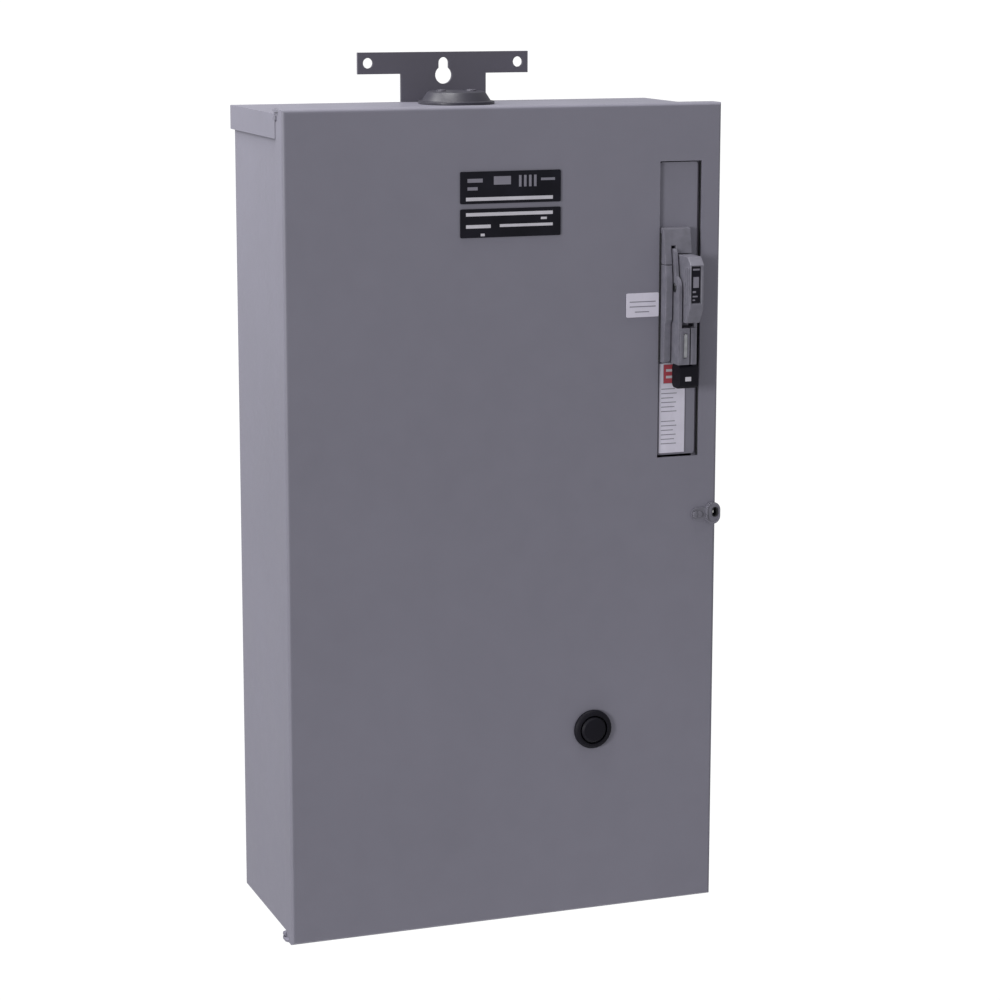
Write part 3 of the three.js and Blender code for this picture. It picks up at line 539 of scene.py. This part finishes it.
# How far each node's edges are rounded, if not by PLAIN_BEVEL.
BEVELS = {
    "enclosure_body": 0.0003,
    "top_cap": 0.0006,
    "door": 0.0003,
    "top_bracket": 0.0004,
    "bottom_bracket": 0.0004,
    "operator_plate": 0.0004,
    "operator_tower": 0.0009,
    "operator_cap": 0.0008,
    "defeater_block": 0.0006,
    "handle_yoke": 0.0007,
    "door_hasp": 0.0005,
    "seal_staple": 0.0003,
    "contactor_body": 0.0008,
    "contactor_armature": 0.0008,
    "overload_relay": 0.0008,
    "switch_base": 0.0006,
    "fuse_block": 0.0006,
}
PLAIN_BEVEL = 0.0002
# Nodes whose finish is not the one their slot is named after.
LOOKS = {
    "hub_plate": "hub_enamel",
    # The pivot pin is darkened: painted shade round the pivot.
    "pivot_pin": "oiled_steel",
    "hinge_pin_top": "enamel",
    "hinge_pin_bottom": "enamel",
}


def dress_cad_nodes():
    """Gives every node its finish and eased edges."""
    slots = {part["node"]: part["material_slot"] for part in frame["record"]["subparts"]}
    for name, obj in nodes.items():
        obj.data.materials.clear()
        obj.data.materials.append(finishes[LOOKS.get(name, slots[name])])
        soften(obj, BEVELS.get(name, PLAIN_BEVEL))


# ---------------------------------------------------------------- printing on the films

INK = 0.00006  # how far printing stands on either side of its film's face


def printed(name, node, body, finish, bars):
    """Raised ink on a film's face: bars as (left, right, bottom, top) fractions of the film."""
    low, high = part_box(node)
    size = high - low

    def build(work):
        for left, right, bottom, top in bars:
            block(
                work,
                (low.x + size.x * left, low.y - INK, low.z + size.z * bottom),
                (low.x + size.x * right, low.y + INK, low.z + size.z * top),
            )

    made(name, build, finish, body)


def ruled(top, pitch, height, ends):
    """Ruled bars down a film: one for each (left, right) pair, from the top."""
    rows = []
    for index, (left, right) in enumerate(ends):
        level = top - pitch * index
        rows.append((left, right, level - height, level))
    return rows


def print_films():
    """Plain bars and blocks in place of lettering."""
    title = [(0.055, 0.92, 0.09, 0.2)]
    printed("nameplate_upper_print", "nameplate_upper", "door", "pale_print", title)
    panel = [
        (0.07, 0.22, 0.66, 0.78),
        (0.07, 0.17, 0.42, 0.52),
        (0.33, 0.5, 0.58, 0.84),
        *((0.58 + 0.05 * step, 0.605 + 0.05 * step, 0.5, 0.86) for step in range(4)),
        (0.8, 0.94, 0.68, 0.76),
    ]
    printed("nameplate_upper_panel", "nameplate_upper", "door", "grey_print", panel)
    fields = [
        (0.055, 0.92, 0.75, 0.87),
        (0.055, 0.3, 0.33, 0.45),
        (0.39, 0.92, 0.35, 0.45),
        (0.8, 0.86, 0.58, 0.66),
        (0.2, 0.24, 0.05, 0.14),
    ]
    printed("nameplate_lower_print", "nameplate_lower", "door", "pale_print", fields)
    lines = [(0.1, 0.9, 0.62, 0.66), (0.1, 0.9, 0.42, 0.46), (0.26, 0.7, 0.2, 0.24)]
    printed("rating_label_print", "rating_label", "door", "grey_print", lines)
    ends = [(0.08, right) for right in (0.62, 0.68, 0.55, 0.66, 0.6, 0.68)]
    rows = ruled(0.72, 0.05, 0.009, ends) + ruled(0.36, 0.05, 0.009, ends)
    printed("instruction_print", "instruction_label", "cabinet", "grey_print", rows)
    header = [(0.1, 0.9, 0.62, 0.76), (0.1, 0.62, 0.26, 0.4)]
    printed("warning_header_print", "warning_header", "cabinet", "pale_print", header)
    window = [
        (0.1, 0.9, 0.9, 0.95),
        (0.16, 0.84, 0.42, 0.72),
        (0.1, 0.5, 0.28, 0.33),
        (0.1, 0.7, 0.16, 0.2),
        (0.1, 0.4, 0.06, 0.1),
    ]
    printed("position_print", "position_label", "cabinet", "grey_print", window)
    printed("grip_mark", "handle_grip", "handle", "pale_print", [(0.3, 0.62, 0.32, 0.5)])


# ---------------------------------------------------------------- fasteners


def screws(name, places, radius, height, axis="y", finish="nickel"):
    """Slotted heads on the cabinet at the given seats, each turned a little differently."""

    def build(work):
        for index, place in enumerate(places):
            slotted_head(work, place, radius, height, axis, 0.4 + 1.13 * index)

    made(name, build, finish, "cabinet")


def corners_of(node, inset_x, inset_z, face):
    """Four places near a node's corners, at the given y."""
    low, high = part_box(node)
    return [
        (x, face, z)
        for x in (low.x + inset_x, high.x - inset_x)
        for z in (low.z + inset_z, high.z - inset_z)
    ]


POLES = (1, 2, 3)


def at_poles(node, face, level):
    """A place at the middle of each pole's node, at the given y and z."""
    return [(middle_of(f"{node}_{n}").x, face, level) for n in POLES]


def switch_face():
    """y of the switch base's front, on which the screw heads and the pips lie."""
    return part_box("line_terminal_1")[1].y + 0.0003


def fit_fasteners():
    hub = middle_of("hub_plate")
    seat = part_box("hub_plate")[1].z
    spots = [(hub.x + side * 0.0125, hub.y, seat) for side in (-1, 1)]
    screws("hub_screws", spots, 0.0038, 0.0012, "z", "dark_enamel")

    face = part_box("mounting_panel")[0].y
    screws("panel_screws", corners_of("mounting_panel", 0.012, 0.012, face), 0.0052, 0.0034)

    face = switch_face()
    screws("base_screws", corners_of("switch_base", 0.009, 0.009, face), 0.0034, 0.0024)
    screws("fuse_base_screws", corners_of("fuse_block", 0.009, 0.009, face), 0.0034, 0.0024)
    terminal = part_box("line_terminal_1")[1]
    spots = at_poles("line_terminal", terminal.y - 0.0197, terminal.z - 0.009)
    screws("line_lug_screws", spots, 0.0048, 0.003)
    low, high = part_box("fuse_clip_1")
    spots = at_poles("fuse_clip", high.y - 0.0157, low.z + 0.0055)
    screws("load_lug_screws", spots, 0.0042, 0.0026)

    low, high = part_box("line_shield")
    spots = [(x, low.y, high.z - 0.006) for x in (low.x + 0.01, high.x - 0.01)]
    screws("shield_screws", spots, 0.0032, 0.002)

    low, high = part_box("ground_bar")
    spots = [(low.x + 0.01 + 0.015 * step, low.y, (low.z + high.z) / 2) for step in range(5)]
    screws("ground_screws", spots, 0.0038, 0.0026, "y", "brass_bar")

    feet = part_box("control_transformer")[1].y - 0.0037
    spots = corners_of("control_transformer", 0.008, 0.0055, feet)
    screws("transformer_screws", spots, 0.0034, 0.0022)


# ---------------------------------------------------------------- operator and door details


def dress_eye():
    """The sealing eye's raised rim, a black sleeve painted into its hole as shade, and its rivet.
    """
    low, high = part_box("door_hasp")
    level = middle_of("door_hasp").z
    centre = (high.x - 0.0062, low.y + 0.0004, level)
    profile = [(0.0046, 0.0), (0.0059, 0.0), (0.0059, 0.0003), (0.0056, 0.0008), (0.0046, 0.0006)]
    made(
        "hasp_rim",
        lambda work: oval_rim(work, profile, centre, 0.0025),
        "operator_casting",
        "door",
        0.00012,
    )
    # A dark rubber sleeve through the eye and the door's edge: painted shade inside the hole.
    mouth = (high.x - 0.0047, low.y, level + 0.0009)
    tube = [(0.002, 0.0001), (0.0025, 0.0001), (0.0025, -0.008), (0.002, -0.008)]
    made(
        "eye_hole_shade",
        lambda work: oval_rim(work, tube, mouth, 0.0014),
        "gasket_rubber",
        "door",
        0.0001,
    )
    rivet = (low.x + 0.0024, low.y, level)
    dome = [(0.0024, 0.0), (0.0022, 0.0003), (0.0014, 0.0006), (0, 0.0007)]
    made("hasp_rivet", lambda work: spun(work, dome, rivet, "y", 20), "operator_casting", "door")


def dress_reset():
    """Rubber sleeve between the reset button and the edge of its hole."""
    bezel = middle_of("reset_bezel")
    seat = (bezel.x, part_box("door")[0].y, bezel.z)
    inner, neck, lip = 0.01078, 0.01094, 0.01125
    inside, face, outside = -0.0042, 0.0001, 0.0008
    profile = [
        (inner, inside),
        (neck, inside),
        (neck, face),
        (lip, face),
        (lip, outside),
        (inner, outside),
        (inner, inside),
    ]
    made("reset_sleeve", lambda work: spun(work, profile, seat), "gasket_rubber", "door")


def dress_operator():
    low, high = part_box("defeater_block")
    outer = low.x - 0.00115
    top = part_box("operator_cap")[1].z - 0.004

    def gap_shade(work):
        """A dark strip in the gap between the cut-out and the operator's left cheek: painted shade
        in that gap.
        """
        block(work, (outer, high.y - 0.0032, low.z), (outer + 0.001, high.y, top))
        start = (outer, high.y - 0.0038, low.z + 0.001)
        block(work, start, (outer + 0.0006, high.y - 0.0031, top - 0.001))

    # Painted shade: a dark strip standing for the shadow in the cut-out's gap.
    made("operator_gap_shade", gap_shade, "gasket_rubber", "cabinet", 0.0001)

    tower_low, tower_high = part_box("operator_tower")

    def ribs(work):
        """Three upright ribs on the tower's left side."""
        for step in range(3):
            front = tower_low.y + 0.0022 + 0.0032 * step
            block(
                work,
                (tower_low.x - 0.0005, front, tower_low.z + 0.014),
                (tower_low.x + 0.0001, front + 0.0012, tower_high.z - 0.008),
            )

    made("tower_ribs", ribs, "operator_casting", "cabinet", 0.0002)

    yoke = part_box("handle_yoke")[0]

    def rails(work):
        """Two raised ribs down the front of the handle's bar."""
        for left in (yoke.x + 0.0011, yoke.x + 0.0105):
            block(
                work,
                (left, yoke.y - 0.0005, yoke.z + 0.0015),
                (left + 0.0022, yoke.y + 0.0002, yoke.z + 0.026),
            )

    made("bar_ribs", rails, "operator_casting", "handle", 0.0002)

    def groove_shade(work):
        """A dark strip in the bar's middle groove, in two steps: painted shade in the groove."""
        left, front, bottom = yoke.x + 0.0093, yoke.y + 0.0008, yoke.z + 0.0005
        block(work, (left, front, bottom), (left + 0.001, front + 0.0021, bottom + 0.028))
        block(work, (left, front - 0.0002, bottom + 0.002), (left + 0.001, front, bottom + 0.026))

    made("bar_groove_shade", groove_shade, "gasket_rubber", "handle", 0.0001)


# ---------------------------------------------------------------- devices inside


def ring(work, centre, inner, outer, low, high):
    """An upright sleeve between two heights, with eased outer corners."""
    ease = min(0.0003, (outer - inner) * 0.5)
    profile = [
        (inner, low),
        (outer - ease, low),
        (outer, low + ease),
        (outer, high - ease),
        (outer - ease, high),
        (inner, high),
        (inner, low),
    ]
    spun(work, profile, centre, "z", 40)


def dress_fuses():
    """Metal ferrules with end discs, and a printed band, on each fuse."""
    ferrule = 0.0156
    half_band = 0.014
    for n in POLES:
        low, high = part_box(f"fuse_{n}")
        centre = ((low.x + high.x) / 2, (low.y + high.y) / 2, 0)
        radius = (high.x - low.x) / 2
        disc = [(0, -0.0001), (radius - 0.0008, 0), (radius - 0.0012, 0.0004), (0, 0.0005)]

        def ferrules(work):
            for bottom in (low.z, high.z - ferrule):
                ring(work, centre, radius - 0.0004, radius + 0.0001, bottom, bottom + ferrule)
            for level, side in ((low.z, -1), (high.z, 1)):
                spun(work, [(r, level + side * rise) for r, rise in disc], centre, "z", 40)

        made(f"fuse_ferrules_{n}", ferrules, "nickel", "cabinet")

        def band(work):
            bottom = (low.z + high.z) / 2 - half_band
            ring(work, centre, radius - 0.0008, radius - 0.0003, bottom, bottom + 2 * half_band)

        made(f"fuse_band_{n}", band, "yellow_print", "cabinet")


def dress_starter():
    """Terminal screws, dial, printing and ribs on the contactor and the overload relay."""
    low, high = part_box("contactor_body")
    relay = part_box("overload_relay")[0]
    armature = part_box("contactor_armature")[0]
    middle = middle_of("contactor_body").x
    columns = [middle + 0.026 * step for step in (-1, 0, 1)]
    levels = (high.z - 0.0065, low.z + 0.0065)
    spots = [(x, low.y + 0.014, z) for x in columns for z in levels]
    screws("contactor_screws", spots, 0.0046, 0.003)
    spots = [(x, relay.y + 0.012, relay.z + 0.006) for x in columns]
    screws("relay_screws", spots, 0.0042, 0.0028)

    def dial(work):
        """A round knob with a pointer across it."""
        x, z = relay.x + 0.018, middle_of("overload_relay").z + 0.006
        knob = [(0.0085, 0), (0.0085, 0.001), (0.0068, 0.0014), (0.0062, 0.0034), (0, 0.0034)]
        spun(work, knob, (x, relay.y, z), "y", 36)
        start = (x - 0.0006, relay.y - 0.0042, z - 0.0055)
        block(work, start, (x + 0.0006, relay.y - 0.003, z + 0.0055))

    made("relay_dial", dial, "pale_print", "cabinet")

    def ratings(work):
        left = relay.x + 0.006
        for step in range(4):
            right, level = left + 0.024 - 0.003 * step, relay.z + 0.016 + 0.0028 * step
            block(work, (left, relay.y - INK, level), (right, relay.y + INK, level + 0.001))

    made("relay_print", ratings, "pale_print", "cabinet")

    def coil_print(work):
        left = middle - 0.011
        for step in range(3):
            right, level = middle + 0.011 - 0.004 * step, armature.z + 0.016 + 0.005 * step
            block(work, (left, armature.y - INK, level), (right, armature.y + INK, level + 0.0014))

    made("coil_print", coil_print, "pale_print", "armature")

    def vents(work):
        left = low.x + 0.0041
        for step in range(9):
            level = low.z + 0.02 + 0.0055 * step
            start = (left, low.y - 0.0005, level)
            block(work, start, (left + 0.006, low.y + 0.0002, level + 0.0024))

    made("contactor_ribs", vents, "black_plastic", "cabinet", 0.0002)


def dress_transformer():
    """The edges of the core's sheets on both sides of the winding, and the winding's tape."""
    low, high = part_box("control_transformer")
    middle = middle_of("control_transformer").x
    core_front = low.y + 0.008
    core_bottom, core_top = low.z + 0.0126, high.z - 0.0126
    behind_winding = 0.0235  # half the width in which the winding hides the sheets

    def sheets(work):
        count = 22
        pitch = (high.x - low.x - 0.001) / count
        for step in range(count):
            x = low.x + 0.0005 + pitch * step
            if abs(x + pitch / 2 - middle) >= behind_winding:
                block(
                    work,
                    (x, core_front - 0.0004, core_bottom),
                    (x + pitch * 0.72, core_front + 0.0004, core_top),
                )

    made("transformer_laminations", sheets, "laminations", "cabinet")

    def tape(work):
        left, right = low.x + 0.0142, high.x - 0.0142
        count = 30
        pitch = (high.z - low.z - 0.012) / count
        for step in range(count):
            level = low.z + 0.006 + pitch * step
            block(work, (left, low.y - 0.0004, level), (right, low.y + 0.0004, level + pitch * 0.8))

    made("transformer_winding", tape, "winding", "cabinet")


def dress_switch():
    """The poles' numbers, as one, two and three plain pips beside the line terminals."""
    face = switch_face()
    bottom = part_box("switch_base")[0].z + 0.02

    def pips(work):
        for n in POLES:
            x = middle_of(f"line_terminal_{n}").x + 0.0135
            for pip in range(n):
                dot = [(0.0013, 0), (0.0011, 0.0003), (0, 0.0003)]
                spun(work, dot, (x, face, bottom + 0.006 * pip), "y", 14)

    made("pole_pips", pips, "pale_print", "cabinet")


make_camera()
make_studio()
dress_cad_nodes()
print_films()
fit_fasteners()
dress_eye()
dress_reset()
dress_operator()
dress_fuses()
dress_starter()
dress_transformer()
dress_switch()
